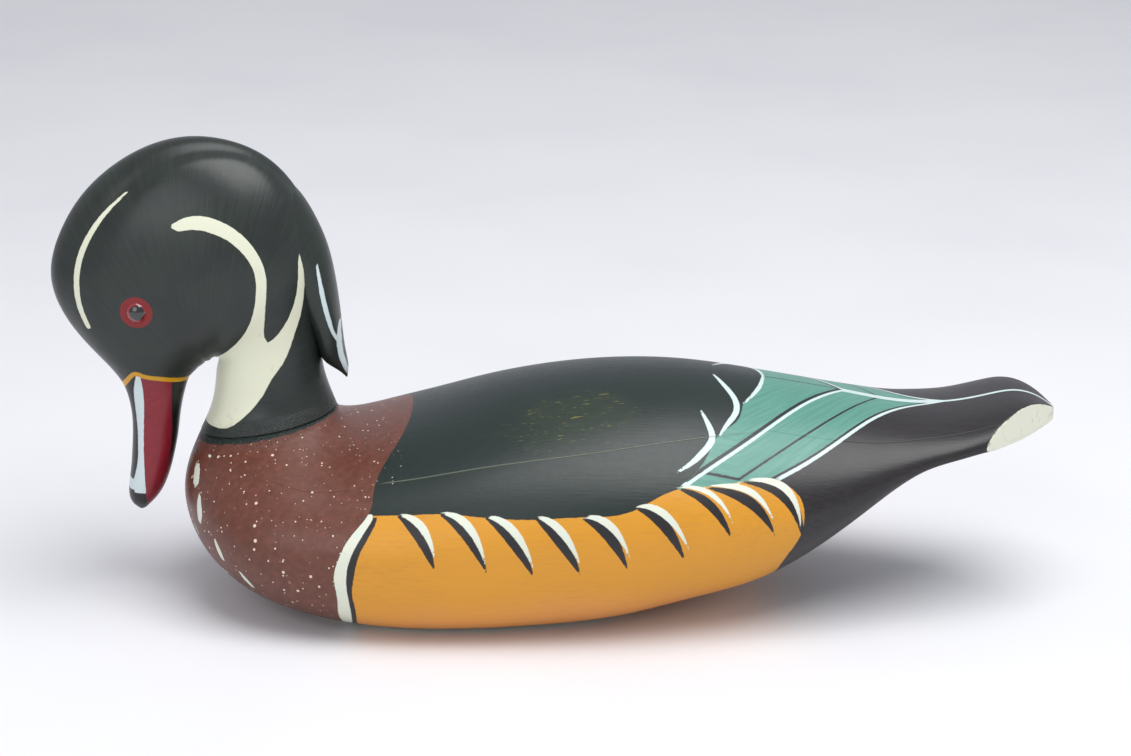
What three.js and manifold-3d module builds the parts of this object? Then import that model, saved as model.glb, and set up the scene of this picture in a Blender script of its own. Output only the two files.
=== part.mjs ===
// Carved and painted wood-duck drake decoy, in millimetres, +Z up.
// The bill points to -X, the tail to +X, and the decoy stands on the flat of its underside at Z = 0.
// Body and head are two carved blocks, glued at a plane round the base of the neck.
import * as THREE from 'three';
import { mergeVertices } from 'three/addons/utils/BufferGeometryUtils.js';
import Module from 'manifold-3d';

// Driving dimensions
const TAIL_TIP_X = 201;
const TAIL_END_TAPER = 30;
const TAIL_END_POWER = 1.25;
const TAIL_END_HALF = 36;
const TAIL_END_SEARCH = 90;
const JOINT_GAP = 0.3;
const EYE_RADIUS = 5;
const EYE_CENTRE = new THREE.Vector3(-162, 19.8, 122);
const EYE_CLEARANCE = 0.35;
const GROOVE_REACH = 3.4;

// Mesh fineness
const BODY_STEPS = 46;
const HEAD_STEPS = 58;
const CREST_STEPS = 16;
const RING_POINTS = 36;
const CREST_RING_POINTS = 18;
const CAP_STEPS = 4;

// A station is one cut across the carving. Its plane holds the Y axis and the line from back to keel,
// two points of the side profile given as [x, z]. half is half the width, waist is how far down from
// the back the widest point lies, and top and low say how full the cut is above and below it:
// 2 is an ellipse, more is squarer and less is more ridged. crown is half the width of the raised
// band along the back, and groove how deep the line beside that band is.
const NEUTRAL = { top: 2, low: 2, waist: 0.5, crown: 0, groove: 0 };

const BODY_STATIONS = [
  { back: [TAIL_TIP_X, 76.3], keel: [TAIL_TIP_X, 71.4], half: 36, top: 2.4, low: 4, waist: 0.75 },
  { back: [195, 80.5], keel: [195, 70.6], half: 36, top: 2.5, low: 4, waist: 0.76 },
  { back: [186, 83.3], keel: [186, 69.3], half: 36, top: 2.6, low: 4, waist: 0.76 },
  { back: [174, 81.6], keel: [174, 68], half: 36.5, top: 2.5, low: 3.6, waist: 0.76 },
  { back: [160, 79], keel: [160, 64.3], half: 38.5, top: 2.2, low: 2.9, waist: 0.76 },
  { back: [146, 78.6], keel: [146, 59.5], half: 41.5, top: 2.1, low: 2.5, waist: 0.75 },
  { back: [136, 79.5], keel: [136, 52.5], half: 44.5, top: 2, low: 2.4, waist: 0.7 },
  { back: [125, 81.5], keel: [125, 43.2], half: 49, top: 1.9, low: 2.4, waist: 0.66 },
  { back: [108, 85], keel: [108, 28.8], half: 55, top: 1.8, low: 2.4, waist: 0.61 },
  { back: [82, 89.5], keel: [82, 13], half: 63, top: 1.8, low: 2.4, waist: 0.57 },
  { back: [55, 93], keel: [55, 5], half: 69.5, top: 1.85, low: 2.4, waist: 0.55 },
  { back: [27, 93.5], keel: [25, -1], half: 73.5, top: 1.9, low: 2.6, waist: 0.55 },
  { back: [0, 91], keel: [-8, -3], half: 75, top: 1.9, low: 2.9, waist: 0.55 },
  { back: [-25, 86], keel: [-42, -3], half: 75, top: 1.9, low: 3.2, waist: 0.55 },
  { back: [-45, 80], keel: [-76, -2], half: 73, top: 1.95, low: 3, waist: 0.55 },
  { back: [-60, 75.5], keel: [-106, 2.5], half: 69, top: 2, low: 2.6, waist: 0.55 },
  { back: [-72, 72], keel: [-128, 12], half: 64, top: 2, low: 2.3, waist: 0.55 },
  { back: [-79, 71], keel: [-142.8, 27.5], half: 56, top: 2, low: 2.2, waist: 0.54 },
  { back: [-83.5, 72.5], keel: [-148, 45], half: 44, top: 2, low: 2.1, waist: 0.52 },
  { back: [-86.5, 77], keel: [-141, 67.5], half: 25 },
];

// The head's cuts climb the neck and then fan round the throat to the tip of the bill.
const NECK_STATIONS = [
  { back: [-86.5, 77], keel: [-141, 67.5], half: 25 },
  { back: [-89, 84], keel: [-137.5, 75.5], half: 22 },
  { back: [-91.5, 93], keel: [-135, 85], half: 20.5 },
  { back: [-92.5, 104], keel: [-134, 93], half: 20 },
  { back: [-93, 118], keel: [-133, 97], half: 20.5 },
  { back: [-93, 132], keel: [-133, 98], half: 22 },
  { back: [-94, 147], keel: [-133.5, 98], half: 24, waist: 0.52, crown: 4 },
  { back: [-98, 161.4], keel: [-134, 98], half: 25.5, waist: 0.54, crown: 4, groove: 0.3 },
];
const HEAD_STATIONS = [
  { back: [-110.3, 177.6], keel: [-134.5, 98], half: 26.5, waist: 0.56, crown: 5, groove: 0.8 },
  { back: [-127.8, 185.7], keel: [-135.5, 97.5], half: 27, waist: 0.57, crown: 7, groove: 1.4 },
  { back: [-147.3, 186.4], keel: [-136.5, 96.5], half: 26.5, waist: 0.57, crown: 10, groove: 1.8 },
  { back: [-166.1, 179.5], keel: [-138, 96], half: 25.5, waist: 0.56, crown: 13.5, groove: 1.8 },
  { back: [-181.7, 167.4], keel: [-139, 95], half: 24, waist: 0.55, crown: 15.5, groove: 1.6 },
  { back: [-193, 151.2], keel: [-141, 93.5], half: 22, waist: 0.54, crown: 14.5, groove: 1.2 },
  { back: [-198.5, 132], keel: [-142, 92.5], half: 19.5, waist: 0.53, crown: 13, groove: 0.9 },
  { back: [-192.5, 113.5], keel: [-143.5, 91], half: 16.5, waist: 0.52, crown: 10.5, groove: 0.4 },
  { back: [-182, 100], keel: [-144.5, 90], half: 14, crown: 9 },
  { back: [-172.5, 88], keel: [-145.5, 88.5], half: 11.5 },
];
const BILL_STATIONS = [
  { back: [-169.5, 80], keel: [-147, 84], half: 10.5, top: 2.2, low: 2.2 },
  { back: [-168.5, 71], keel: [-149, 75.5], half: 10.5, top: 2.2, low: 2.2 },
  { back: [-169, 60], keel: [-150.5, 65.5], half: 10.5, top: 2.2, low: 2.2 },
  { back: [-170, 50], keel: [-152.5, 56], half: 11, top: 2.2, low: 2.2 },
  { back: [-171, 42], keel: [-155, 47.5], half: 10.5, top: 2.2, low: 2.2 },
  { back: [-170, 37], keel: [-158.5, 40.5], half: 8.5 },
  { back: [-167, 34], keel: [-163.5, 35], half: 3.5 },
];

// The crest flap rises out of the back of the head and hangs to a point behind the neck.
const CREST_STATIONS = [
  { back: [-112, 175], keel: [-122, 150], half: 15 },
  { back: [-101.5, 167], keel: [-115, 142], half: 15.5 },
  { back: [-94, 156], keel: [-108, 132], half: 14.5 },
  { back: [-89, 144], keel: [-103, 122], half: 13.5 },
  { back: [-86, 130.5], keel: [-98, 112], half: 12.5 },
  { back: [-84, 114], keel: [-94, 103], half: 10.5 },
  { back: [-82.5, 100], keel: [-90.5, 95.5], half: 7.5 },
  { back: [-81.5, 92.5], keel: [-85, 91.5], half: 3.5 },
  { back: [-82, 89], keel: [-82.5, 89], half: 0.6 },
];

// Second derivatives of the natural cubic spline through the values, zero at both ends.
function splineMoments(knots, values) {
  const last = knots.length - 1;
  const slope = (i) => (values[i + 1] - values[i]) / (knots[i + 1] - knots[i]);
  const diagonal = [1];
  const right = [0];
  for (let i = 1; i < last; i += 1) {
    const before = knots[i] - knots[i - 1];
    const carried = before / diagonal[i - 1] * (i > 1 ? 1 : 0);
    diagonal[i] = 2 * (knots[i + 1] - knots[i - 1]) - carried * before;
    right[i] = 6 * (slope(i) - slope(i - 1)) - carried * right[i - 1];
  }
  const moments = new Array(last + 1).fill(0);
  for (let i = last - 1; i > 0; i -= 1) {
    moments[i] = (right[i] - (knots[i + 1] - knots[i]) * moments[i + 1]) / diagonal[i];
  }
  return moments;
}

// The spline as a function of the distance along the carving.
function spline(knots, values) {
  const moments = splineMoments(knots, values);
  return (s) => {
    let i = 0;
    while (i < knots.length - 2 && s > knots[i + 1]) {
      i += 1;
    }
    const span = knots[i + 1] - knots[i];
    const past = s - knots[i];
    const left = knots[i + 1] - s;
    const bend = (moments[i] * left ** 3 + moments[i + 1] * past ** 3) / (6 * span);
    const straight = (values[i] / span - moments[i] * span / 6) * left
      + (values[i + 1] / span - moments[i + 1] * span / 6) * past;
    return bend + straight;
  };
}

// Distance along the carving at each station: the mean of what its back and its keel have moved.
function stationKnots(stations) {
  const knots = [0];
  for (let i = 1; i < stations.length; i += 1) {
    const move = (rail) => Math.hypot(
      stations[i][rail][0] - stations[i - 1][rail][0],
      stations[i][rail][1] - stations[i - 1][rail][1],
    );
    knots.push(knots[i - 1] + (move('back') + move('keel')) / 2);
  }
  return knots;
}

// The cut at any distance along the carving, every size of it on its own spline.
function cutter(rows) {
  const stations = rows.map((row) => ({ ...NEUTRAL, ...row }));
  const knots = stationKnots(stations);
  const along = (pick) => spline(knots, stations.map(pick));
  const sizes = {
    backX: along((s) => s.back[0]),
    backZ: along((s) => s.back[1]),
    keelX: along((s) => s.keel[0]),
    keelZ: along((s) => s.keel[1]),
  };
  for (const name of ['half', ...Object.keys(NEUTRAL)]) {
    sizes[name] = along((s) => s[name]);
  }
  const length = knots[knots.length - 1];
  const cutAt = (s) => Object.fromEntries(Object.entries(sizes).map(([name, at]) => [name, at(s)]));
  return { cutAt, length };
}

// One point of a cut. The angle runs from the back, 0, down the left side to the keel, pi, and up again.
// What would reach below the ground is planed off flat at it.
function cutPoint(cut, angle) {
  const upper = Math.cos(angle) >= 0;
  const power = 2 / (upper ? cut.top : cut.low);
  const rise = Math.abs(Math.cos(angle)) ** power;
  const across = -Math.sign(Math.sin(angle)) * Math.abs(Math.sin(angle)) ** power * cut.half;
  const down = upper ? cut.waist * (1 - rise) : cut.waist + (1 - cut.waist) * rise;
  const chord = new THREE.Vector3(cut.keelX - cut.backX, 0, cut.keelZ - cut.backZ);
  const centre = new THREE.Vector3(cut.backX, 0, cut.backZ).addScaledVector(chord, cut.waist);
  const point = new THREE.Vector3(cut.backX, across, cut.backZ).addScaledVector(chord, down);
  if (upper && cut.groove > 0) {
    const offGroove = (Math.abs(across) - cut.crown) / GROOVE_REACH;
    const inward = centre.sub(point).normalize();
    point.addScaledVector(inward, cut.groove * Math.exp(-offGroove * offGroove));
  }
  point.z = Math.max(point.z, 0);
  return point;
}

function ringOf(cut, count) {
  return Array.from({ length: count }, (_, k) => cutPoint(cut, 2 * Math.PI * k / count));
}

function ringsAlong(rows, steps, count) {
  const { cutAt, length } = cutter(rows);
  return Array.from({ length: steps + 1 }, (_, i) => ringOf(cutAt(length * i / steps), count));
}

// The tail ends in an upright cut that is pointed in plan: how far to +X it reaches beside the middle.
function tailEndX(y) {
  return TAIL_TIP_X - TAIL_END_TAPER * (Math.abs(y) / TAIL_END_HALF) ** TAIL_END_POWER;
}

// The distance along the body at which the line of points at one angle meets the tail's end.
function tailEndTravel(cutAt, angle) {
  let outside = 0;
  let inside = TAIL_END_SEARCH;
  for (let halving = 0; halving < 40; halving += 1) {
    const middle = (outside + inside) / 2;
    const point = cutPoint(cutAt(middle), angle);
    if (point.x > tailEndX(point.y)) {
      outside = middle;
    } else {
      inside = middle;
    }
  }
  return inside;
}

// The body's rings, each line of points spread evenly from the tail's end to the joint with the head.
function bodyRings() {
  const { cutAt, length } = cutter(BODY_STATIONS);
  const angles = Array.from({ length: RING_POINTS }, (_, k) => 2 * Math.PI * k / RING_POINTS);
  const starts = angles.map((angle) => tailEndTravel(cutAt, angle));
  const travel = (i, k) => starts[k] + (length - starts[k]) * i / BODY_STEPS;
  return Array.from({ length: BODY_STEPS + 1 }, (_, i) => angles.map(
    (angle, k) => cutPoint(cutAt(travel(i, k)), angle),
  ));
}

// Rings that grow from the tip over the upright end of the tail and keep to its plan.
function tailEndRings(edge, tip) {
  return Array.from({ length: CAP_STEPS - 1 }, (_, k) => {
    const share = (k + 1) / CAP_STEPS;
    return edge.map((p) => {
      const y = p.y * share;
      return new THREE.Vector3(tailEndX(y), y, tip.z + (p.z - tip.z) * share);
    });
  });
}

// A closed skin over the rings, with a fan of triangles to the middle of the first and last ring.
function skin(rings, firstTip, lastTip) {
  const count = rings[0].length;
  const points = rings.flat();
  const indices = [];
  for (let i = 0; i < rings.length - 1; i += 1) {
    for (let k = 0; k < count; k += 1) {
      const a = i * count + k;
      const b = i * count + (k + 1) % count;
      indices.push(a, b, a + count, b, b + count, a + count);
    }
  }
  const firstIndex = points.push(firstTip) - 1;
  const lastIndex = points.push(lastTip) - 1;
  const lastRing = (rings.length - 1) * count;
  for (let k = 0; k < count; k += 1) {
    const next = (k + 1) % count;
    indices.push(firstIndex, next, k);
    indices.push(lastIndex, lastRing + k, lastRing + next);
  }
  const geometry = new THREE.BufferGeometry();
  const coordinates = points.flatMap((p) => [p.x, p.y, p.z]);
  geometry.setAttribute('position', new THREE.Float32BufferAttribute(coordinates, 3));
  geometry.setIndex(indices);
  return facingOut(geometry);
}

function signedVolume(geometry) {
  const position = geometry.getAttribute('position');
  const index = geometry.getIndex();
  const corner = (i) => new THREE.Vector3().fromBufferAttribute(position, index.getX(i));
  let sum = 0;
  for (let i = 0; i < index.count; i += 3) {
    sum += corner(i).dot(corner(i + 1).cross(corner(i + 2))) / 6;
  }
  return sum;
}

function facingOut(geometry) {
  if (signedVolume(geometry) < 0) {
    geometry.setIndex(Array.from(geometry.getIndex().array).reverse());
  }
  return geometry;
}

function middleOf(ring) {
  return ring.reduce((sum, p) => sum.add(p), new THREE.Vector3()).divideScalar(ring.length);
}

const wasm = await Module();
wasm.setup();

function solidFrom(geometry) {
  const plain = geometry.clone();
  for (const name of ['normal', 'uv']) {
    plain.deleteAttribute(name);
  }
  const merged = mergeVertices(plain);
  const vertProperties = new Float32Array(merged.getAttribute('position').array);
  const triVerts = new Uint32Array(merged.getIndex().array);
  return new wasm.Manifold(new wasm.Mesh({ numProp: 3, vertProperties, triVerts }));
}

function geometryFrom(solid) {
  const mesh = solid.getMesh();
  const geometry = new THREE.BufferGeometry();
  geometry.setAttribute('position', new THREE.BufferAttribute(new Float32Array(mesh.vertProperties), 3));
  geometry.setIndex(new THREE.BufferAttribute(new Uint32Array(mesh.triVerts), 1));
  geometry.computeVertexNormals();
  return geometry;
}

function bodySolid() {
  const rings = bodyRings();
  const [end] = BODY_STATIONS;
  const tip = new THREE.Vector3(TAIL_TIP_X, 0, (end.back[1] + end.keel[1]) / 2);
  return solidFrom(skin([...tailEndRings(rings[0], tip), ...rings], tip, middleOf(rings[rings.length - 1])));
}

// The head's first cut is lifted off the body along the normal of the joint.
function liftedFromJoint(station) {
  const [back, keel] = [station.back, station.keel];
  const along = new THREE.Vector2(back[0] - keel[0], back[1] - keel[1]).normalize();
  const lift = (p) => [p[0] - along.y * JOINT_GAP, p[1] + along.x * JOINT_GAP];
  return { ...station, back: lift(back), keel: lift(keel) };
}

function headSolid() {
  const [joint, ...neck] = NECK_STATIONS;
  const stations = [liftedFromJoint(joint), ...neck, ...HEAD_STATIONS, ...BILL_STATIONS];
  const headRings = ringsAlong(stations, HEAD_STEPS, RING_POINTS);
  const crestRings = ringsAlong(CREST_STATIONS, CREST_STEPS, CREST_RING_POINTS);
  const [head, crest] = [headRings, crestRings].map(
    (rings) => solidFrom(skin(rings, middleOf(rings[0]), middleOf(rings[rings.length - 1]))),
  );
  return [-1, 1].reduce(
    (solid, side) => solid.subtract(solidFrom(eyeBall(EYE_RADIUS + EYE_CLEARANCE, side))),
    head.add(crest),
  );
}

// side is -1 for the decoy's left, towards -Y, and 1 for its right.
function eyeBall(radius, side) {
  const ball = new THREE.SphereGeometry(radius, 18, 10);
  ball.translate(EYE_CENTRE.x, side * EYE_CENTRE.y, EYE_CENTRE.z);
  return ball;
}

const paintedBody = new THREE.MeshStandardMaterial({ color: 0x7a4a22, roughness: 0.45, metalness: 0 });
const paintedHead = new THREE.MeshStandardMaterial({ color: 0x1f2a26, roughness: 0.38, metalness: 0 });
const glass = new THREE.MeshStandardMaterial({ color: 0x5a0f16, roughness: 0.08, metalness: 0 });

const duckDecoy = new THREE.Group();

function add(name, geometry, material) {
  const mesh = new THREE.Mesh(geometry, material);
  mesh.name = name;
  duckDecoy.add(mesh);
}

add('body', geometryFrom(bodySolid()), paintedBody);
add('head', geometryFrom(headSolid()), paintedHead);
add('eye_left', geometryFrom(solidFrom(eyeBall(EYE_RADIUS, -1))), glass);
add('eye_right', geometryFrom(solidFrom(eyeBall(EYE_RADIUS, 1))), glass);

export default duckDecoy;
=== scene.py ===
"""A carved and painted drake wood-duck decoy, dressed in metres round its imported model.

Body and head are carved blocks. Each is a surface laid over a row of cuts, and its paint is laid out
in real millimetres on that surface: every painted shape is a depth inside its edge, and the
materials turn those depths into brushed paint.
"""

import logging
import math
from collections.abc import Callable, Sequence
from dataclasses import dataclass, field
from enum import Enum

import bpy
import numpy as np
from mathutils import Matrix, Vector

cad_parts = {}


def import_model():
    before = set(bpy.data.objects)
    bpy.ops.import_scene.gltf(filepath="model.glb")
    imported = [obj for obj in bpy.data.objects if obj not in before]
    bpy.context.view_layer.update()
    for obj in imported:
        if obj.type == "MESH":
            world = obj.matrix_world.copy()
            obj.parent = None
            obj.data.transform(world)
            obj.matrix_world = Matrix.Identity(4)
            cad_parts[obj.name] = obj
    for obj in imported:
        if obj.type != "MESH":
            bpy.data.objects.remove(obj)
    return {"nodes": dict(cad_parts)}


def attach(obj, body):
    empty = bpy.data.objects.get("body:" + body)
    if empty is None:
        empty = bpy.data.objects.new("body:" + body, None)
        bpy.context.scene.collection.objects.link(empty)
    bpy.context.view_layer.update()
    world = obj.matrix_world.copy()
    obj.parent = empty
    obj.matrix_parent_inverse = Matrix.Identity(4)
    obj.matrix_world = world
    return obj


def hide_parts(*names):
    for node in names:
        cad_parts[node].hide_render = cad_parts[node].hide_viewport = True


log = logging.getLogger("duck_decoy")

MM = 0.001
FAR = 8.0  # depth, in millimetres, beyond which a painted edge no longer matters
Point = tuple[float, float]
Colour = tuple[float, float, float]


def paint(red: int, green: int, blue: int) -> Colour:
    """Linear colour of a paint that is given as a colour on the screen, 0 to 255.

    Args:
        red: Red on the screen.
        green: Green on the screen.
        blue: Blue on the screen.

    Returns:
        The three linear values, each ((c + 0.055) / 1.055) to the power 2.4, or c / 12.92 when dark.
    """
    shares = (red / 255, green / 255, blue / 255)
    return tuple(c / 12.92 if c <= 0.04045 else ((c + 0.055) / 1.055) ** 2.4 for c in shares)


# Curves


def natural_spline(knots: np.ndarray, values: np.ndarray) -> Callable[[np.ndarray], np.ndarray]:
    """The natural cubic spline through the values, straight on beyond its ends.

    The second derivatives solve the usual three-term system and are zero at both ends.

    Args:
        knots: Rising places along the curve.
        values: The value at each place.

    Returns:
        A function of an array of places.
    """
    gaps = np.diff(knots)
    count = len(knots)
    system = np.eye(count)
    right = np.zeros(count)
    inner = np.arange(1, count - 1)
    system[inner, inner - 1] = gaps[:-1]
    system[inner, inner] = 2 * (gaps[:-1] + gaps[1:])
    system[inner, inner + 1] = gaps[1:]
    slopes = np.diff(values) / gaps
    right[inner] = 6 * np.diff(slopes)
    bends = np.linalg.solve(system, right)
    first = slopes[0] - gaps[0] * bends[1] / 6
    last = slopes[-1] + gaps[-1] * bends[-2] / 6

    def at(places: np.ndarray) -> np.ndarray:
        """The spline at an array of places."""
        held = np.clip(places, knots[0], knots[-1])
        i = np.clip(np.searchsorted(knots, held, side="left") - 1, 0, count - 2)
        gap, past, left = gaps[i], held - knots[i], knots[i + 1] - held
        bend = (bends[i] * left**3 + bends[i + 1] * past**3) / (6 * gap)
        straight = (values[i] / gap - bends[i] * gap / 6) * left
        straight += (values[i + 1] / gap - bends[i + 1] * gap / 6) * past
        beyond = first * np.minimum(places - knots[0], 0) + last * np.maximum(places - knots[-1], 0)
        return bend + straight + beyond

    return at


def curve_through(points: Sequence[Point], count: int = 40) -> np.ndarray:
    """A smooth run of points through a few, spaced by the spline over the chord lengths.

    Args:
        points: The points that the curve passes.
        count: How many points come back.

    Returns:
        An array of count points.
    """
    path = np.array(points, float)
    knots = np.concatenate([[0.0], np.cumsum(np.hypot(*np.diff(path, axis=0).T))])
    places = np.linspace(0, knots[-1], count)
    return np.stack([natural_spline(knots, path[:, axis])(places) for axis in (0, 1)], axis=-1)


def smooth(values: np.ndarray, low: float, high: float) -> np.ndarray:
    """0 below low, 1 above high, and 3t^2 - 2t^3 between them."""
    share = np.clip((values - low) / (high - low), 0, 1)
    return share * share * (3 - 2 * share)


# Painted shapes on a flat chart, in millimetres


def near_segments(chart: np.ndarray, curve: np.ndarray) -> tuple[np.ndarray, np.ndarray]:
    """Distance from each place to each straight piece of a curve, and how far along the piece it is.

    Args:
        chart: Places, one row each.
        curve: Points of the curve.

    Returns:
        Distances and shares along the piece, one row for each place.
    """
    start, step = curve[:-1], np.diff(curve, axis=0)
    offset = chart[:, None] - start
    share = np.clip((offset * step).sum(-1) / np.maximum((step * step).sum(-1), 1e-9), 0, 1)
    return np.linalg.norm(offset - share[..., None] * step, axis=-1), share


def close_to(chart: np.ndarray, curve: np.ndarray, reach: float) -> np.ndarray:
    """Which places lie in the box of a curve, grown by reach."""
    low, high = curve.min(axis=0) - reach, curve.max(axis=0) + reach
    return ((chart > low) & (chart < high)).all(axis=-1)


def brushed(chart: np.ndarray, path: Sequence[Point], widths: Sequence[float]) -> np.ndarray:
    """Depth inside one brush stroke: half its width there less the distance from its middle line.

    Args:
        chart: Places, one row each.
        path: A few points of the stroke's middle line.
        widths: The stroke's width at evenly spaced places along it.

    Returns:
        The depth at each place, positive inside.
    """
    curve = curve_through(path)
    shares = np.linspace(0, 1, len(curve))
    half = np.interp(shares, np.linspace(0, 1, len(widths)), widths) / 2
    depth = np.full(len(chart), -FAR)
    near = close_to(chart, curve, FAR / 2)
    gap, share = near_segments(chart[near], curve)
    depth[near] = (half[:-1] + np.diff(half) * share - gap).max(axis=1, initial=-FAR)
    return depth


def patch(chart: np.ndarray, runs: Sequence[Sequence[Point]]) -> np.ndarray:
    """Depth inside a closed outline: the distance to it, positive inside by the crossing rule.

    Args:
        chart: Places, one row each.
        runs: The outline's runs in order, each smooth, with a corner where one meets the next.

    Returns:
        The depth at each place, positive inside.
    """
    outline = np.concatenate([curve_through(run, 30)[:-1] for run in runs])
    outline = np.concatenate([outline, outline[:1]])
    depth = np.full(len(chart), -FAR)
    near = close_to(chart, outline, FAR / 2)
    places = chart[near]
    gap = near_segments(places, outline)[0].min(axis=1, initial=FAR)
    (x0, y0), (x1, y1) = outline[:-1].T, outline[1:].T
    x, y = places[:, :1], places[:, 1:]
    crosses = ((y0 > y) != (y1 > y)) & (x < (x1 - x0) * (y - y0) / np.where(y1 == y0, 1e-9, y1 - y0) + x0)
    depth[near] = np.where(crosses.sum(axis=1) % 2 == 1, gap, -gap)
    return depth


def beyond(across: np.ndarray, along: np.ndarray, edge: Sequence[Point]) -> np.ndarray:
    """How far across a place is past an edge that is a smooth function of along.

    The difference is divided by the root of 1 + slope^2, which makes it a distance from the edge.

    Args:
        across: The coordinate that is compared with the edge.
        along: The coordinate that the edge is a function of.
        edge: Points (along, across) of the edge, in rising order of along.

    Returns:
        The distance, positive where across is more than the edge.
    """
    knots, values = np.array(edge, float).T
    line = natural_spline(knots, values)
    held = np.clip(along, knots[0], knots[-1])
    slope = line(held + 0.5) - line(held - 0.5)
    return (across - line(held)) / np.sqrt(1 + slope * slope)


# Carved blocks


@dataclass(frozen=True)
class Cut:
    """One cut across a carved block, in millimetres. Its plane holds the line from back to keel.

    half is half the width, waist how far down from the back the widest point lies, and top and low
    say how full the cut is above and below it: 2 is an ellipse, more is squarer. crown is half the
    width of the raised band along the back, and groove the depth of the line beside it.
    """

    back: Point
    keel: Point
    half: float
    top: float = 2.0
    low: float = 2.0
    waist: float = 0.5
    crown: float = 0.0
    groove: float = 0.0


class CarvedBlock:
    """A surface laid over a row of cuts, with every size of a cut on its own spline."""

    GROOVE_REACH = 3.4

    def __init__(self, cuts: Sequence[Cut]) -> None:
        """Lay the splines.

        Args:
            cuts: The cuts in order along the block.
        """
        back = np.array([cut.back for cut in cuts])
        keel = np.array([cut.keel for cut in cuts])
        moves = (np.hypot(*np.diff(back, axis=0).T) + np.hypot(*np.diff(keel, axis=0).T)) / 2
        knots = np.concatenate([[0.0], np.cumsum(moves)])
        self.length = float(knots[-1])
        rows = {"back_x": back[:, 0], "back_z": back[:, 1], "keel_x": keel[:, 0], "keel_z": keel[:, 1]}
        for name in ("half", "top", "low", "waist", "crown", "groove"):
            rows[name] = np.array([getattr(cut, name) for cut in cuts])
        self.sizes = {name: natural_spline(knots, values) for name, values in rows.items()}

    def surface(self, travel: np.ndarray, turn: np.ndarray) -> np.ndarray:
        """Points of the block's skin, in millimetres.

        A cut is a super-ellipse: at the turn t from the back, its radius is
        (|cos t|^n + |sin t|^n)^(-1/n), with n from top above the widest point and from low below it.
        The groove pushes a point towards the middle of the cut by a bell curve beside the crown.

        Args:
            travel: Distance along the block.
            turn: Angle round the cut from the back, in radians, the decoy's left side first.

        Returns:
            An array of the same shape with x, y and z last.
        """
        cut = {name: line(travel) for name, line in self.sizes.items()}
        upper = np.cos(turn) >= 0
        power = np.where(upper, cut["top"], cut["low"])
        rise, side = np.abs(np.cos(turn)), np.abs(np.sin(turn))
        radius = (rise**power + side**power) ** (-1 / power)
        rise, side = rise * radius, side * radius
        across = -np.sign(np.sin(turn)) * side * cut["half"]
        waist = cut["waist"]
        down = np.where(upper, waist * (1 - rise), waist + (1 - waist) * rise)
        span_x, span_z = cut["keel_x"] - cut["back_x"], cut["keel_z"] - cut["back_z"]
        point = np.stack([cut["back_x"] + span_x * down, across, cut["back_z"] + span_z * down], axis=-1)
        middle_x, middle_z = cut["back_x"] + span_x * waist, cut["back_z"] + span_z * waist
        middle = np.stack([middle_x, 0 * across, middle_z], axis=-1)
        inward = middle - point
        inward /= np.linalg.norm(inward, axis=-1, keepdims=True) + 1e-9
        bell = np.exp(-(((np.abs(across) - cut["crown"]) / self.GROOVE_REACH) ** 2))
        depth = np.where(upper, np.maximum(cut["groove"], 0) * bell, 0)
        return point + depth[..., None] * inward


def girth_of(points: np.ndarray) -> np.ndarray:
    """Distance along each ring from its back line, by the shorter way round.

    Args:
        points: Rings of points, one row each.

    Returns:
        One distance for each point, the running sum of the steps or the whole ring less that sum.
    """
    steps = np.linalg.norm(np.roll(points, -1, axis=1) - points, axis=-1)
    run = np.cumsum(steps, axis=1) - steps
    return np.minimum(run, steps.sum(axis=1, keepdims=True) - run)


def ring_turns(dense: int, sparse: int, change: float) -> np.ndarray:
    """Angles round a ring, closely spaced from the back to the angle of change and wider below it.

    Args:
        dense: How many angles one side has above the change.
        sparse: How many it has below.
        change: The angle of the change, in degrees from the back.

    Returns:
        The angles of a whole ring, in radians.
    """
    above = np.linspace(0, math.radians(change), dense, endpoint=False)
    below = np.linspace(math.radians(change), math.pi, sparse, endpoint=False)
    side = np.concatenate([above, below])
    return np.concatenate([side, [math.pi], 2 * math.pi - side[:0:-1]])


@dataclass
class Skin:
    """Rings of points in millimetres, closed by a point at each end, with numbers for the paint."""

    rings: np.ndarray
    first: np.ndarray
    last: np.ndarray
    numbers: dict[str, np.ndarray] = field(default_factory=dict)

    def number(self, name: str, values: np.ndarray) -> None:
        """Add a number for every ring point; the end points take the mean of their ring."""
        grid = values.reshape(self.rings.shape[:2])
        self.numbers[name] = np.concatenate([grid.ravel(), [grid[0].mean(), grid[-1].mean()]])

    def faces(self) -> tuple[np.ndarray, np.ndarray]:
        """Quads between neighbouring rings, and the two fans of triangles that close the ends."""
        rows, count = self.rings.shape[:2]
        here = np.arange(count)
        following = (here + 1) % count
        start = (np.arange(rows - 1) * count)[:, None]
        corners = [start + here, start + following, start + count + following, start + count + here]
        quads = np.stack(corners, axis=-1)
        first, last = rows * count, rows * count + 1
        end = (rows - 1) * count
        fan_first = np.stack([np.full(count, first), following, here], axis=-1)
        fan_last = np.stack([np.full(count, last), end + here, end + following], axis=-1)
        return quads.reshape(-1, 4), np.concatenate([fan_first, fan_last])

    def volume(self, quads: np.ndarray, fans: np.ndarray) -> float:
        """Signed volume: the sum of a . (b x c) / 6 over the triangles."""
        points = self.points()
        triangles = np.concatenate([quads[:, :3], quads[:, [0, 2, 3]], fans])
        a, b, c = (points[triangles[:, k]] for k in range(3))
        return float((a * np.cross(b, c)).sum() / 6)

    def points(self) -> np.ndarray:
        """All the points: the rings, then the two end points."""
        return np.concatenate([self.rings.reshape(-1, 3), [self.first, self.last]])


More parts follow.
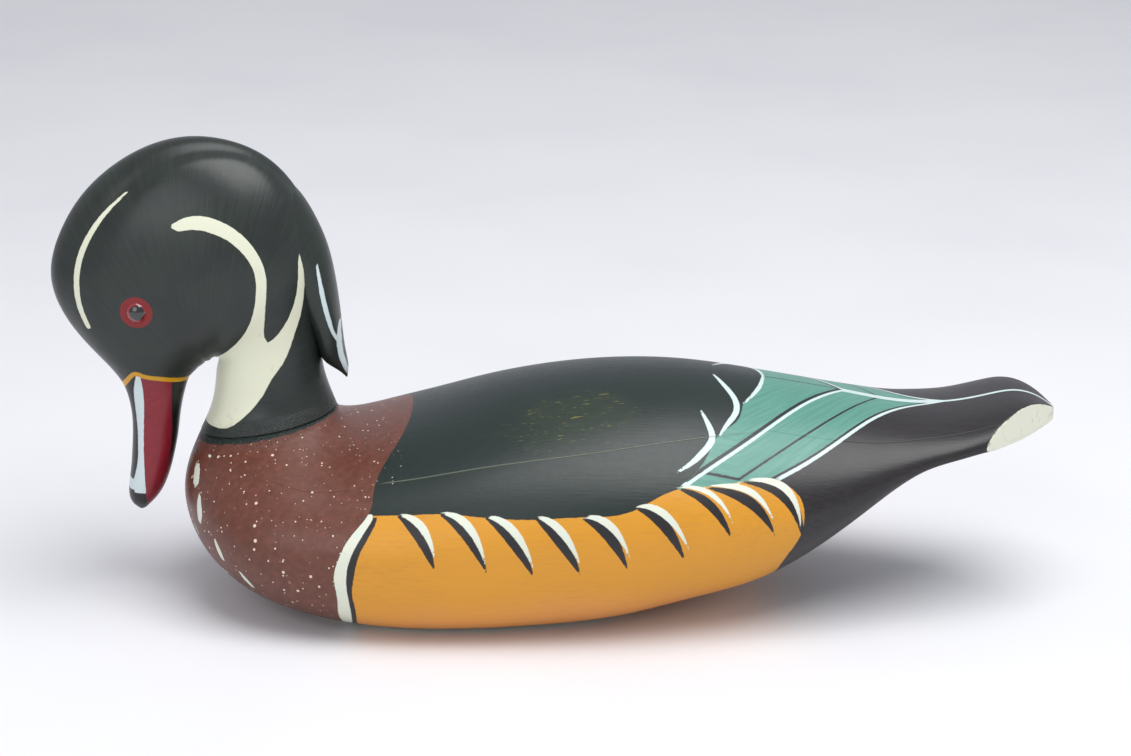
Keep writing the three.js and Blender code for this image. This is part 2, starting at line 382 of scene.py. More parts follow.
def joined_mesh(name: str, skins: Sequence[Skin]) -> bpy.types.Object:
    """One smooth mesh object from closed skins, with their numbers as attributes.

    Args:
        name: The object's name.
        skins: Closed skins that have the same numbers.

    Returns:
        The object, at the origin, with its place in its mesh.
    """
    quads, fans, points, passed = [], [], [], 0
    for skin in skins:
        four, three = skin.faces()
        if skin.volume(four, three) < 0:
            four, three = four[:, ::-1], three[:, ::-1]
        quads.append(four + passed)
        fans.append(three + passed)
        points.append(skin.points())
        passed += len(points[-1])
    four, three = np.concatenate(quads), np.concatenate(fans)
    places = np.concatenate(points) * MM
    mesh = bpy.data.meshes.new(name)
    mesh.vertices.add(len(places))
    mesh.vertices.foreach_set("co", places.astype(np.float32).ravel())
    mesh.loops.add(four.size + three.size)
    mesh.loops.foreach_set("vertex_index", np.concatenate([four.ravel(), three.ravel()]).astype(np.int32))
    mesh.polygons.add(len(four) + len(three))
    starts = np.concatenate([np.arange(len(four)) * 4, four.size + np.arange(len(three)) * 3])
    mesh.polygons.foreach_set("loop_start", starts.astype(np.int32))
    mesh.update(calc_edges=True)
    mesh.validate()
    mesh.shade_smooth()
    for key in skins[0].numbers:
        values = np.concatenate([skin.numbers[key] for skin in skins])
        mesh.attributes.new(key, "FLOAT", "POINT").data.foreach_set("value", values.astype(np.float32))
    piece = bpy.data.objects.new(name, mesh)
    bpy.context.collection.objects.link(piece)
    return piece


# Paint and glass


class Value:
    """A number of a material, on which plain arithmetic adds the Math nodes."""

    def __init__(self, board: "Board", socket: bpy.types.NodeSocket) -> None:
        """Wrap the socket of a board."""
        self.board = board
        self.socket = socket

    def maths(self, operation: str, first: "Value | float", second: "Value | float") -> "Value":
        """The result of a Math node on two numbers."""
        node = self.board.node("ShaderNodeMath", {"operation": operation}, {0: first, 1: second})
        return Value(self.board, node.outputs[0])

    def __add__(self, other: "Value | float") -> "Value":
        """self + other."""
        return self.maths("ADD", self, other)

    __radd__ = __add__

    def __sub__(self, other: "Value | float") -> "Value":
        """self - other."""
        return self.maths("SUBTRACT", self, other)

    def __rsub__(self, other: "Value | float") -> "Value":
        """other - self."""
        return self.maths("SUBTRACT", other, self)

    def __mul__(self, other: "Value | float") -> "Value":
        """self * other."""
        return self.maths("MULTIPLY", self, other)

    __rmul__ = __mul__

    def __abs__(self) -> "Value":
        """self without its sign."""
        return self.maths("ABSOLUTE", self, 0.0)

    def most(self, other: "Value | float") -> "Value":
        """The larger of self and other."""
        return self.maths("MAXIMUM", self, other)

    def between(self, low: float, high: float) -> "Value":
        """0 at low, 1 at high and a smooth step between them; low may be more than high."""
        settings = {"interpolation_type": "SMOOTHSTEP"}
        inputs = {"Value": self, "From Min": low, "From Max": high}
        return Value(self.board, self.board.node("ShaderNodeMapRange", settings, inputs).outputs[0])


class Board:
    """One material, built up node by node."""

    def __init__(self, name: str) -> None:
        """Start an empty material.

        Args:
            name: The material's name.
        """
        self.material = bpy.data.materials.new(name)
        self.material.use_nodes = True
        self.tree = self.material.node_tree
        self.tree.nodes.clear()

    def node(self, kind: str, settings: dict[str, object], inputs: dict[object, object]) -> bpy.types.Node:
        """Add a node.

        Args:
            kind: The node's type.
            settings: Its own properties, set first.
            inputs: Numbers, colours, Values or sockets by socket name, identifier or index.

        Returns:
            The node.
        """
        node = self.tree.nodes.new(kind)
        for name, setting in settings.items():
            setattr(node, name, setting)
        for key, given in inputs.items():
            known = {socket.identifier: socket for socket in node.inputs}
            socket = node.inputs[key] if isinstance(key, int) else known.get(key) or node.inputs[key]
            given = given.socket if isinstance(given, Value) else given
            if isinstance(given, bpy.types.NodeSocket):
                self.tree.links.new(given, socket)
            else:
                wide = isinstance(given, tuple) and socket.type == "RGBA"
                socket.default_value = (*given, 1.0) if wide else given
        return node

    def number(self, name: str) -> Value:
        """A number that the mesh carries."""
        settings = {"attribute_name": name, "attribute_type": "GEOMETRY"}
        return Value(self, self.node("ShaderNodeAttribute", settings, {}).outputs["Fac"])

    def place(self, stretch: tuple[float, float, float] = (1, 1, 1)) -> bpy.types.NodeSocket:
        """The place in millimetres in the object, with each axis stretched."""
        spot = self.node("ShaderNodeTexCoord", {}, {}).outputs["Object"]
        scale = tuple(s / MM for s in stretch)
        return self.node("ShaderNodeVectorMath", {"operation": "MULTIPLY"}, {0: spot, 1: scale}).outputs[0]

    def chart(self, along: Value, across: Value) -> bpy.types.NodeSocket:
        """A place on the skin from two numbers."""
        return self.node("ShaderNodeCombineXYZ", {}, {"X": along, "Y": across}).outputs[0]

    def noise(self, place: bpy.types.NodeSocket, size: float, detail: float = 2.0, rough: float = 0.5) -> Value:
        """Soft noise round 0, about -0.5 to 0.5, with lumps of a size in millimetres."""
        inputs = {"Vector": place, "Scale": 1 / size, "Detail": detail, "Roughness": rough}
        return Value(self, self.node("ShaderNodeTexNoise", {}, inputs).outputs[0]) - 0.5

    def flecks(self, place: bpy.types.NodeSocket, size: float, share: float, radius: float) -> Value:
        """Round spots on a share of the cells of a random pattern.

        Args:
            place: The place in millimetres.
            size: Width of a cell in millimetres.
            share: Share of the cells that have a spot, 0 to 1.
            radius: Largest radius of a spot in millimetres.

        Returns:
            1 inside a spot and 0 outside.
        """
        node = self.node("ShaderNodeTexVoronoi", {"feature": "F1"}, {"Vector": place, "Scale": 1 / size})
        gap = Value(self, node.outputs["Distance"]) * size
        parts = self.node("ShaderNodeSeparateColor", {}, {"Color": node.outputs["Color"]})
        chosen = Value(self, parts.outputs[0]).between(1 - share, 1 - share + 0.01)
        reach = Value(self, parts.outputs[1]) * radius
        return chosen * (reach - gap).between(-0.05, 0.15)

    def tint(self, below: object, above: object, mask: Value) -> bpy.types.NodeSocket:
        """One colour over another where mask is 1."""
        inputs = {"Factor_Float": mask, "A_Color": below, "B_Color": above}
        settings = {"data_type": "RGBA", "clamp_factor": True}
        return self.node("ShaderNodeMix", settings, inputs).outputs[2]

    def finish(self, colour: object, rough: object, height: Value | None, **plain: object) -> bpy.types.Material:
        """End the material with its shader.

        Args:
            colour: Base colour.
            rough: Roughness.
            height: Relief in millimetres, or None.
            plain: More sockets of the shader by name, with _ for a space.

        Returns:
            The material.
        """
        inputs = {"Base Color": colour, "Roughness": rough}
        inputs |= {name.replace("_", " "): given for name, given in plain.items()}
        if height is not None:
            relief = self.node("ShaderNodeBump", {}, {"Height": height * MM, "Distance": 1.0, "Strength": 1.0})
            inputs["Normal"] = relief.outputs[0]
        shader = self.node("ShaderNodeBsdfPrincipled", {}, inputs)
        self.node("ShaderNodeOutputMaterial", {}, {"Surface": shader.outputs[0]})
        return self.material


@dataclass(frozen=True)
class BodyPaint:
    """Oil paint on the body: chestnut breast, green back, teal wing, golden flank and black rump."""

    black: Colour = paint(30, 28, 31)
    brown_black: Colour = paint(52, 44, 42)
    green: Colour = paint(22, 36, 33)
    worn_green: Colour = paint(52, 66, 44)
    yellow_rub: Colour = paint(128, 122, 52)
    teal: Colour = paint(80, 138, 124)
    pale_teal: Colour = paint(104, 160, 146)
    chestnut: Colour = paint(92, 50, 38)
    pale_chestnut: Colour = paint(124, 72, 56)
    fleck: Colour = paint(228, 206, 184)
    gold: Colour = paint(212, 146, 34)
    deep_gold: Colour = paint(190, 130, 38)
    peach: Colour = paint(222, 150, 92)
    cream: Colour = paint(222, 224, 204)
    pale: Colour = paint(205, 222, 220)
    smudge: Colour = paint(60, 44, 22)

    def material(self) -> bpy.types.Material:
        """Lay the paints over each other, each with a brushed edge."""
        board = Board("body_paint")
        along = board.number("along")
        place = board.place()
        wobble = board.noise(place, 2.2, 3.0)
        fine = board.noise(place, 0.5, 2.0)

        def inside(name: str, waver: float = 0.5, soft: float = 0.16) -> Value:
            """Where a painted shape is: its depth, with a wavering edge."""
            return (board.number(name) + wobble * waver + fine * 0.25).between(-soft, soft)

        def line(name: str, middle: float, width: float) -> Value:
            """A painted line at an offset from a guide line."""
            gap = abs(board.number(name) - middle)
            return (width / 2 - gap + wobble * 0.3 + fine * 0.3).between(-0.14, 0.14)

        lengthwise = board.noise(board.place((0.05, 1.0, 1.0)), 0.8, 3.0, 0.6)
        broad = board.noise(place, 22.0, 2.0)
        mottle = board.noise(place, 3.0, 4.0, 0.65)

        # rump, back and wing
        colour = board.tint(self.black, self.brown_black, (lengthwise * 1.5 + 0.35).between(0.2, 0.9))
        rub = board.noise(board.place((0.16, 1.0, 1.0)), 0.9, 2.0, 0.6)
        worn = (board.number("wear") + broad * 0.9).between(0.35, 1.0)
        green = board.tint(self.green, self.worn_green, worn * (lengthwise + 0.5) * 0.7)
        green = board.tint(green, self.yellow_rub, worn * rub.between(0.13, 0.22))
        colour = board.tint(colour, green, inside("green"))
        slanted = board.noise(board.chart(board.number("line_2"), along * 0.06), 1.1, 3.0, 0.6)
        teal = board.tint(self.teal, self.pale_teal, (slanted + 0.35).between(0.1, 0.8))
        on_teal = inside("teal")
        colour = board.tint(colour, teal, on_teal)
        dark = line("girth", 0.0, 0.7).most(line("line_2", 0.0, 0.9)).most(line("line_1", -0.9, 1.3))
        dark = dark.most(line("line_3", -1.0, 1.1)) * on_teal
        colour = board.tint(colour, self.black, dark)
        pale = (line("line_1", 0.6, 1.3) * on_teal).most(line("line_3", 0.2, 1.5) * board.number("line_3_on"))
        pale = pale.most(inside("wing_mark", 0.3))
        colour = board.tint(colour, self.pale, pale)

        # breast
        spatter = board.flecks(place, 1.5, 0.30, 0.45).most(board.flecks(place, 2.8, 0.22, 0.8))
        freckled = (board.number("speckle") + broad * 0.8).between(0.2, 0.9)
        breast = board.tint(self.chestnut, self.pale_chestnut, (mottle + 0.35).between(0.1, 0.9))
        on_breast = inside("chestnut")
        colour = board.tint(colour, breast, on_breast)
        colour = board.tint(colour, self.fleck, spatter * freckled)

        # flank and underside
        gold = board.tint(self.gold, self.deep_gold, (lengthwise + broad * 0.6 + 0.2).between(0.1, 0.8) * 0.8)
        gold = board.tint(gold, self.peach, (board.number("low") + broad * 0.4).between(0.3, 1.2) * 0.6)
        on_gold = inside("gold")
        colour = board.tint(colour, gold, on_gold)
        on_under = inside("under", 0.9)
        colour = board.tint(colour, self.cream, on_under)
        colour = board.tint(colour, self.black, inside("black"))
        white = inside("white", 0.35)
        dabbed = board.tint(self.cream, self.pale, (mottle + 0.4).between(0.2, 0.9))
        colour = board.tint(colour, dabbed, white)

        # neck edge and tail end
        colour = board.tint(colour, self.green, inside("collar", 1.6))
        streaks = board.noise(board.place((1.0, 1.0, 0.25)), 1.4, 3.0, 0.6)
        end = board.tint(self.cream, self.smudge, streaks.between(0.12, 0.3) * 0.7)
        on_end = inside("tail_end", 0.8)
        colour = board.tint(colour, end, on_end)

        seam = (0.35 - abs(board.number("seam")) + fine * 0.2).between(-0.1, 0.25)
        colour = board.tint(colour, paint(120, 128, 108), seam * 0.55 * board.number("seam_on"))

        height = lengthwise * 0.05 + mottle * 0.03 + white * 0.12 + pale * 0.08 - seam * 0.12
        height = height + (board.number("filler") * (mottle + fine) * 0.5) + spatter * freckled * 0.1
        rough = 0.36 + lengthwise * 0.12 + mottle * 0.12 + on_gold * 0.06
        return board.finish(colour, rough, height, Specular_IOR_Level=0.5)


@dataclass(frozen=True)
class HeadPaint:
    """Oil paint on the head: green-black, cream lines and throat, and a crimson and yellow bill."""

    dark: Colour = paint(30, 36, 34)
    grey: Colour = paint(50, 57, 53)
    green: Colour = paint(24, 42, 32)
    ochre: Colour = paint(150, 120, 40)
    cream: Colour = paint(224, 226, 202)
    pale: Colour = paint(206, 220, 222)
    stain: Colour = paint(176, 160, 120)
    black: Colour = paint(24, 24, 27)
    crimson: Colour = paint(138, 28, 42)
    deep_crimson: Colour = paint(112, 22, 36)
    yellow: Colour = paint(206, 150, 12)
    eye_red: Colour = paint(128, 16, 20)

    def material(self) -> bpy.types.Material:
        """Lay the paints over each other, each with a brushed edge."""
        board = Board("head_paint")
        along, girth = board.number("along"), board.number("girth")
        place = board.place()
        wobble = board.noise(place, 2.2, 3.0)
        fine = board.noise(place, 0.4, 2.0)
        broad = board.noise(place, 16.0, 2.0)
        mottle = board.noise(place, 3.0, 4.0, 0.65)
        combed = board.noise(board.chart(along, girth * 0.03), 0.8, 3.0, 0.6)

        def inside(name: str, waver: float = 0.4, soft: float = 0.14) -> Value:
            """Where a painted shape is: its depth, with a wavering edge."""
            return (board.number(name) + wobble * waver + fine * 0.2).between(-soft, soft)

        colour = board.tint(self.dark, self.grey, (combed + broad + 0.3).between(0.0, 1.0))
        colour = board.tint(colour, self.green, (broad + 0.15).between(0.1, 0.6))
        rub = board.noise(board.chart(along, girth * 0.2), 0.8, 2.0)
        colour = board.tint(colour, self.ochre, rub.between(0.2, 0.3) * board.number("wear"))
        colour = board.tint(colour, self.black, inside("bill"))
        red = board.tint(self.crimson, self.deep_crimson, (rub + 0.4).between(0.1, 0.9))
        colour = board.tint(colour, red, inside("red"))
        smudges = (mottle + broad).between(0.1, 0.5) * board.number("throat")
        cream = board.tint(self.cream, self.stain, smudges * 0.8)
        colour = board.tint(colour, cream, inside("white"))
        colour = board.tint(colour, self.pale, inside("pale"))
        colour = board.tint(colour, self.yellow, inside("yellow"))
        colour = board.tint(colour, self.eye_red, inside("eye_rim"))
        height = combed * 0.06 + mottle * 0.02 + (inside("white") + inside("pale")) * 0.08
        height = height + board.number("filler") * (mottle + fine) * 0.5
        rough = 0.34 + combed * 0.12 + mottle * 0.1
        return board.finish(colour, rough, height, Specular_IOR_Level=0.5)


@dataclass(frozen=True)
class EyeGlass:
    """Polished glass over a red iris with a black pupil, the iris darkened at its edge by painted eyelid shade.
    """

    iris: Colour = paint(150, 18, 24)
    # painted shade of the eyelid, a darker red towards the glass ball's edge
    eyelid_shade: Colour = paint(70, 8, 12)
    pupil: Colour = paint(8, 6, 8)

    def material(self) -> bpy.types.Material:
        """Iris, painted eyelid shade and pupil by the distance from the eye's axis, under a clear polished coat.
        """
        board = Board("eye_glass")
        out = board.number("from_axis")
        flecked = board.noise(board.place(), 0.6, 2.0)
        # the iris turns to the darker red near the ball's edge: painted shade where the eyelid meets the glass
        colour = board.tint(self.iris, self.eyelid_shade, (out + flecked * 0.6).between(3.6, 5.0))
        colour = board.tint(self.pupil, colour, out.between(2.9, 3.4))
        return board.finish(colour, 0.12, None, Coat_Weight=1.0, Coat_Roughness=0.02, Specular_IOR_Level=0.6)


@dataclass(frozen=True)
class Backdrop:
    """Matt pale paper."""

    colour: Colour = paint(232, 232, 235)

    def material(self) -> bpy.types.Material:
        """Nearly plain, with a very faint cloudiness."""
        board = Board("pale_paper")
        cloud = board.noise(board.place(), 180.0, 2.0)
        colour = board.tint(self.colour, paint(226, 226, 230), cloud.between(-0.2, 0.4))
        return board.finish(colour, 0.85, None)


# The cuts of the carved blocks

BODY_CUTS = (
    Cut((201, 76.3), (201, 71.4), 36, top=2.4, low=4, waist=0.75),
    Cut((195, 80.5), (195, 70.6), 36, top=2.5, low=4, waist=0.76),
    Cut((186, 83.3), (186, 69.3), 36, top=2.6, low=4, waist=0.76),
    Cut((174, 81.6), (174, 68), 36.5, top=2.5, low=3.6, waist=0.76),
    Cut((160, 79), (160, 64.3), 38.5, top=2.2, low=2.9, waist=0.76),
    Cut((146, 78.6), (146, 59.5), 41.5, top=2.1, low=2.5, waist=0.75),
    Cut((136, 79.5), (136, 52.5), 44.5, top=2, low=2.4, waist=0.7),
    Cut((125, 81.5), (125, 43.2), 49, top=1.9, low=2.4, waist=0.66),
    Cut((108, 85), (108, 28.8), 55, top=1.8, low=2.4, waist=0.61),
    Cut((82, 89.5), (82, 13), 63, top=1.8, low=2.4, waist=0.57),
    Cut((55, 93), (55, 5), 69.5, top=1.85, low=2.4, waist=0.55),
    Cut((27, 93.5), (25, -1), 73.5, top=1.9, low=2.6, waist=0.55),
    Cut((0, 91), (-8, -3), 75, top=1.9, low=2.9, waist=0.55),
    Cut((-25, 86), (-42, -3), 75, top=1.9, low=3.2, waist=0.55),
    Cut((-45, 80), (-76, -2), 73, top=1.95, low=3, waist=0.55),
    Cut((-60, 75.5), (-106, 2.5), 69, top=2, low=2.6, waist=0.55),
    Cut((-72, 72), (-128, 12), 64, top=2, low=2.3, waist=0.55),
    Cut((-79, 71), (-142.8, 27.5), 56, top=2, low=2.2, waist=0.54),
    Cut((-83.5, 72.5), (-148, 45), 44, top=2, low=2.1, waist=0.52),
    Cut((-86.5, 77), (-141, 67.5), 25),
)

NECK_CUTS = (
    Cut((-86.5, 77), (-141, 67.5), 25),
    Cut((-89, 84), (-137.5, 75.5), 22),
    Cut((-91.5, 93), (-135, 85), 20.5),
    Cut((-92.5, 104), (-134, 93), 20),
    Cut((-93, 118), (-133, 97), 20.5),
    Cut((-93, 132), (-133, 98), 22),
    Cut((-94, 147), (-133.5, 98), 24, waist=0.52, crown=4),
    Cut((-98, 161.4), (-134, 98), 25.5, waist=0.54, crown=4, groove=0.3),
)

HEAD_CUTS = (
    Cut((-110.3, 177.6), (-134.5, 98), 26.5, waist=0.56, crown=5, groove=0.8),
    Cut((-127.8, 185.7), (-135.5, 97.5), 27, waist=0.57, crown=7, groove=1.4),
    Cut((-147.3, 186.4), (-136.5, 96.5), 26.5, waist=0.57, crown=10, groove=1.8),
    Cut((-166.1, 179.5), (-138, 96), 25.5, waist=0.56, crown=13.5, groove=1.8),
    Cut((-181.7, 167.4), (-139, 95), 24, waist=0.55, crown=15.5, groove=1.6),
    Cut((-193, 151.2), (-141, 93.5), 22, waist=0.54, crown=14.5, groove=1.2),
    Cut((-198.5, 132), (-142, 92.5), 19.5, waist=0.53, crown=13, groove=0.9),
    Cut((-192.5, 113.5), (-143.5, 91), 16.5, waist=0.52, crown=10.5, groove=0.4),
    Cut((-182, 100), (-144.5, 90), 14, crown=9),
    Cut((-172.5, 88), (-145.5, 88.5), 11.5),
)

BILL_CUTS = (
    Cut((-169.5, 80), (-147, 84), 10.5, top=2.2, low=2.2),
    Cut((-168.5, 71), (-149, 75.5), 10.5, top=2.2, low=2.2),
    Cut((-169, 60), (-150.5, 65.5), 10.5, top=2.2, low=2.2),
    Cut((-170, 50), (-152.5, 56), 11, top=2.2, low=2.2),
    Cut((-171, 42), (-155, 47.5), 10.5, top=2.2, low=2.2),
    Cut((-170, 37), (-158.5, 40.5), 8.5),
    Cut((-167, 34), (-163.5, 35), 3.5),
)

CREST_CUTS = (
    Cut((-112, 175), (-122, 150), 15),
    Cut((-101.5, 167), (-115, 142), 15.5),
    Cut((-94, 156), (-108, 132), 14.5),
    Cut((-89, 144), (-103, 122), 13.5),
    Cut((-86, 130.5), (-98, 112), 12.5),
    Cut((-84, 114), (-94, 103), 10.5),
    Cut((-82.5, 100), (-90.5, 95.5), 7.5),
    Cut((-81.5, 92.5), (-85, 91.5), 3.5),
    Cut((-82, 89), (-82.5, 89), 0.6),
)


# The body


@dataclass(frozen=True)
class Feather:
    """One flank feather's tip: a white crescent with a black one on its inner side, in chart places."""

    start: Point
    white_tip: Point
    black_tip: Point
    bulge: float
    white: float = 3.3
    black: float = 2.1
    lean: float = 0.75

    def bow(self, tip: Point, bulge: np.ndarray) -> np.ndarray:
        """Points from the start to a tip, pushed out by bulge times sin(pi t^lean)^0.8."""
        share = np.linspace(0, 1, 21)
        begin, chord = np.array(self.start), np.array(tip) - np.array(self.start)
        out = np.array([chord[1], -chord[0]]) / np.hypot(*chord)
        swell = np.abs(np.sin(math.pi * share**self.lean)) ** 0.8
        return begin + share[:, None] * chord + (bulge * swell)[:, None] * out

    def white_depth(self, chart: np.ndarray) -> np.ndarray:
        """Depth inside the white crescent."""
        share = np.linspace(0, 1, 21)
        full = np.full(21, self.bulge)
        outer = self.bow(self.white_tip, full)
        inner = self.bow(self.white_tip, full - self.white * (1 - 0.25 * share))
        return patch(chart, [outer, inner[::-1]])

    def black_depth(self, chart: np.ndarray) -> np.ndarray:
        """Depth inside the black crescent, which runs a little past the white one's tip."""
        outer = self.bow(self.black_tip, np.full(21, self.bulge - 0.8))
        inner = self.bow(self.black_tip, np.full(21, self.bulge - self.white - self.black))
        return patch(chart, [outer, inner[::-1]])


@dataclass
class BodyBlock:
    """The carved body with its stub tail: a row of cuts, ended by the upright wall of the tail."""

    tail_tip: float = 201.0
    taper: float = 30.0
    taper_power: float = 1.25
    end_half: float = 36.0
    rows: int = 300
    cap_rows: int = 14
    block: CarvedBlock = field(default_factory=lambda: CarvedBlock(BODY_CUTS))

    CHESTNUT_EDGE = (
        (0, -56), (17, -57), (34, -61), (48, -66), (63, -69), (71, -70), (76.4, -73), (83.3, -78),
        (92.4, -82), (101.9, -84), (110.7, -83), (120.7, -83), (131.8, -82),
    )
    BAR_MIDDLE = ((75.7, -69), (82.8, -73), (91.1, -77), (99.9, -79), (108, -79), (117.9, -78), (132.3, -78))
    BAR_BACK = ((75.3, -67), (82.7, -70), (91.1, -74), (100.5, -76), (109.2, -77), (118.4, -76), (126.1, -76))
    GOLD_TOP = (
        (-69, 73.4), (-58, 75.4), (-44, 77.9), (-26, 82.9), (-7, 86.3), (11, 86.7), (31, 84.4), (38, 80.4),
        (47, 75.3), (58, 72.3), (71, 68), (87, 63),
    )
    RUMP_EDGE = (
        (63, 87), (64.8, 91), (67.5, 95), (71.2, 97), (78.8, 97.3), (86.7, 95), (93.4, 92), (103.8, 89),
        (118.7, 87), (140, 85),
    )
    TEAL_FRONT = ((0, 83.5), (14, 81.5), (27.4, 75), (38.8, 72), (47.4, 65), (56.1, 61), (70.7, 52), (74.4, 48))
    LINE_1 = ((52, 71.5), (69, 55.7), (82, 41.6), (99.5, 19.6), (116, 0))
    LINE_2 = ((72, 66.4), (82, 57), (98, 41), (116, 20.3), (131, 0))
    LINE_3 = ((30, 108), (50, 92), (70, 76), (87, 63), (102, 50.9), (118, 34.1), (139, 10), (157, 0))
    SEAM = ((-65, 57.5), (-20, 60.6), (19, 59.4), (65, 48.2), (86, 40.5))
    WING_STROKES = (
        (((84.3, 0), (81.5, 14), (75, 27.4)), (1.2, 1.8, 0.9)),
        (((64, 6.1), (69, 17.7), (72, 26), (72, 32.9), (68, 41.8), (65, 48.2)), (0.9, 2.2, 2.4, 2.2, 0.9)),
        (((58, 35.5), (61, 43.7), (62, 50.3), (59, 56.5), (53, 63.8), (48, 67.8)), (0.9, 2.4, 2.6, 2.2, 0.8)),
    )
    BREAST_STROKES = (
        (((-140, 81.6), (-142, 91.4)), (1.0, 2.4, 1.2)),
        (((-139, 89.2), (-139, 102.6)), (0.8, 2.6, 1.4)),
        (((-142, 111.6), (-140, 113.7)), (1.2, 1.6)),
        (((-132, 100.7), (-129, 110)), (0.9, 2.4, 1.6)),
        (((-131, 125.9), (-127, 122)), (0.9, 2.0, 1.4)),
        (((-122, 110), (-117, 118.6)), (0.9, 2.4, 1.6)),
        (((-135, 70.8), (-136, 72)), (1.0, 1.2)),
    )
    FEATHERS = (
        Feather((-60, 75), (-45, 98.1), (-45, 101.9), 6),
        Feather((-44, 77.9), (-25.5, 103.3), (-25, 106), 6.7),
        Feather((-26, 82.9), (-7, 107), (-7, 109.6), 6),
        Feather((-7, 85.5), (11, 107), (11, 110.1), 5.6),
        Feather((11, 87.4), (30, 104.3), (29, 108.1), 6.9),
        Feather((31, 83.6), (53, 99.5), (51, 103), 7.5),
        Feather((47, 74.5), (70, 85.6), (69, 90.6), 7.2, 2.5, 2.1, 1.0),
        Feather((58, 72.3), (86, 81.5), (86, 85.9), 9, 3.2, 2.1, 1.2),
        Feather((71, 68), (96, 83.9), (97, 87), 13.5, 3.8, 2.1, 1.0),
    )

    def end_x(self, across: np.ndarray) -> np.ndarray:
        """How far the tail's end reaches: the tip less taper times (|y| / half) to its power."""
        return self.tail_tip - self.taper * (np.abs(across) / self.end_half) ** self.taper_power

    def start_travel(self, turn: np.ndarray) -> np.ndarray:
        """Travel at which each line of points meets the tail's end, found by halving."""
        outside, inside = np.zeros(len(turn)), np.full(len(turn), 90.0)
        for _ in range(40):
            middle = (outside + inside) / 2
            point = self.block.surface(middle, turn)
            past = point[:, 0] > self.end_x(point[:, 1])
            outside, inside = np.where(past, middle, outside), np.where(past, inside, middle)
        return inside

    def skin(self) -> Skin:
        """The body's rings: the tail's upright end, then the lines of points on to the head's joint."""
        turn = ring_turns(125, 12, 156)
        start = self.start_travel(turn)
        share = np.linspace(0, 1, self.rows)[:, None]
        travel = start + (self.block.length - start) * share
        rings = self.block.surface(travel, np.broadcast_to(turn, travel.shape))
        rings[..., 2] = np.maximum(rings[..., 2], 0)
        edge = rings[0]
        tip = np.array([self.tail_tip, 0, (BODY_CUTS[0].back[1] + BODY_CUTS[0].keel[1]) / 2])
        grown = (np.arange(1, self.cap_rows + 1) / (self.cap_rows + 1))[:, None] ** 0.6
        across = edge[:, 1] * grown
        height = tip[2] + (edge[:, 2] - tip[2]) * grown
        cap = np.stack([self.end_x(across), across, height], axis=-1)
        whole = np.concatenate([cap, rings])
        skin = Skin(whole, tip, rings[-1].mean(axis=0))
        depth_in = np.concatenate([(1 - grown) * 7 + 0 * across, self.past_end(rings)])
        self.number(skin, np.concatenate([0 * across + start, travel]), depth_in)
        return skin

    def past_end(self, rings: np.ndarray) -> np.ndarray:
        """Distance by which a point stops short of the tail's end, negative."""
        return rings[..., 0] - self.end_x(rings[..., 1])

    def number(self, skin: Skin, travel: np.ndarray, depth_in: np.ndarray) -> None:
        """Give the skin the numbers of its paint.

        Args:
            skin: The body's skin.
            travel: Travel of each ring point.
            depth_in: Depth inside the tail's end.
        """
        girth = girth_of(skin.rings).ravel()
        x, _, z = skin.rings.reshape(-1, 3).T
        chart = np.stack([x, girth], axis=-1)
        front = beyond(x, girth, self.CHESTNUT_EDGE)
        bar_middle = beyond(x, girth, self.BAR_MIDDLE)
        bar_back = beyond(x, girth, self.BAR_BACK)
        black = np.minimum.reduce([bar_middle + 0.8, -bar_back, girth - 74.5])
        white = np.minimum.reduce([front, -bar_middle, girth - 72.7])
        for feather in self.FEATHERS:
            black = np.maximum(black, feather.black_depth(chart))
            white = np.maximum(white, feather.white_depth(chart))
        for path, widths in self.BREAST_STROKES:
            white = np.maximum(white, brushed(chart, path, widths))
        marks = [brushed(chart, path, widths) for path, widths in self.WING_STROKES]
        teal_front = beyond(x, girth, self.TEAL_FRONT)
        line_3 = beyond(girth, x, self.LINE_3)
        gold_top = beyond(girth, x, self.GOLD_TOP)
        gap = self.block.length - travel.ravel()
        numbers = {
            "along": x,
            "girth": girth,
            "chestnut": -front,
            "white": white,
            "black": black,
            "gold": np.minimum.reduce([gold_top, -beyond(x, girth, self.RUMP_EDGE), bar_middle]),
            "green": -teal_front,
            "teal": np.minimum(teal_front, -line_3),
            "line_1": beyond(girth, x, self.LINE_1),
            "line_2": beyond(girth, x, self.LINE_2),
            "line_3": line_3,
            "line_3_on": smooth(x, 85, 89),
            "wing_mark": np.maximum.reduce(marks),
            "under": (2.0 - z) * 1.5,
            "low": smooth(girth, 95, 140),
            "wear": np.exp(-(((x - 10) / 38) ** 2) - ((girth - 40) / 22) ** 2),
            "speckle": smooth(-x, 45, 75) * 0.9,
            "seam": beyond(girth, x, self.SEAM),
            "seam_on": smooth(x, -68, -62) * (1 - smooth(x, 55, 95)),
            "collar": 1.6 - gap,
            "filler": 1 - smooth(gap, 2, 6),
            "tail_end": depth_in.ravel(),
        }
        for name, values in numbers.items():
            skin.number(name, values)

    def build(self) -> bpy.types.Object:
        """The painted body as one piece."""
        piece = joined_mesh("carved_body", [self.skin()])
        piece.data.materials.append(BodyPaint().material())
        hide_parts("body")
        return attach(piece, "root")


# The head


